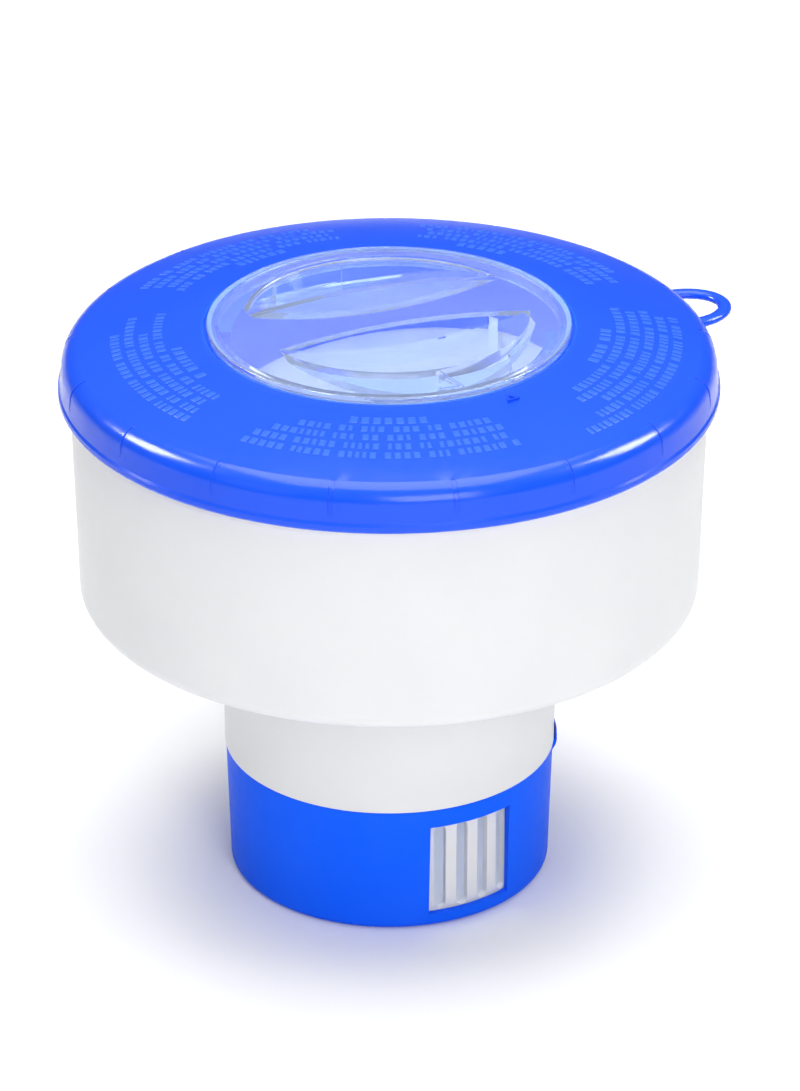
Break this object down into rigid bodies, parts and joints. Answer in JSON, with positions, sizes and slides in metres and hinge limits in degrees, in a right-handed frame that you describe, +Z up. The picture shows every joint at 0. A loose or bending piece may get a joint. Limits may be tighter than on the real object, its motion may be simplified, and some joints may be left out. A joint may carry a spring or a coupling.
{
  "type": "floating chlorine dispenser",
  "caption": "Round pool float with a blue lid, clear twist-lock cap, white drum and neck, and a blue turning dosing ring with slotted windows.",
  "frame": {"origin": "on the axis of the dispenser, at the flat underside of the dosing ring", "axes": "+Z up along the axis towards the cap; -Y is the front; the mooring eye is at 26 degrees from +X towards +Y"},
  "size_m": [0.2104, 0.2046, 0.1937],
  "materials": {
    "lid_plastic": "moulded polypropylene, satin gloss",
    "ring_plastic": "moulded polypropylene, satin gloss",
    "body_plastic": "moulded polypropylene, fine satin",
    "clear_plastic": "clear moulded polycarbonate",
    "clear_rubber": "translucent silicone",
    "seal_rubber": "smooth nitrile rubber"
  },
  "bodies": {
    "float": {"top_lid": "lid_plastic", "lid_seal": "seal_rubber", "float_drum": "body_plastic", "tablet_tube": "body_plastic", "collar_seal": "seal_rubber", "tube_seal": "seal_rubber", "slotted_basket": "body_plastic"},
    "cap_gasket": {"cap_seal": "clear_rubber"},
    "cap": {"clear_cap": "clear_plastic"},
    "dosing_cup": {"dosing_ring": "ring_plastic"}
  },
  "joints": [
    {"name": "cap_lift", "type": "slide", "parent": "float", "child": "cap_gasket", "axis": [0, 0, 1], "range_m": [0, 0.06]},
    {"name": "cap_turn", "type": "hinge", "parent": "cap_gasket", "child": "cap", "pos_m": [0, 0, 0.1854], "axis": [0, 0, 1], "range_deg": [0, 15]},
    {"name": "dosing_turn", "type": "hinge", "parent": "float", "child": "dosing_cup", "pos_m": [0, 0, 0.02], "axis": [0, 0, 1], "range_deg": [0, 36]}
  ]
}
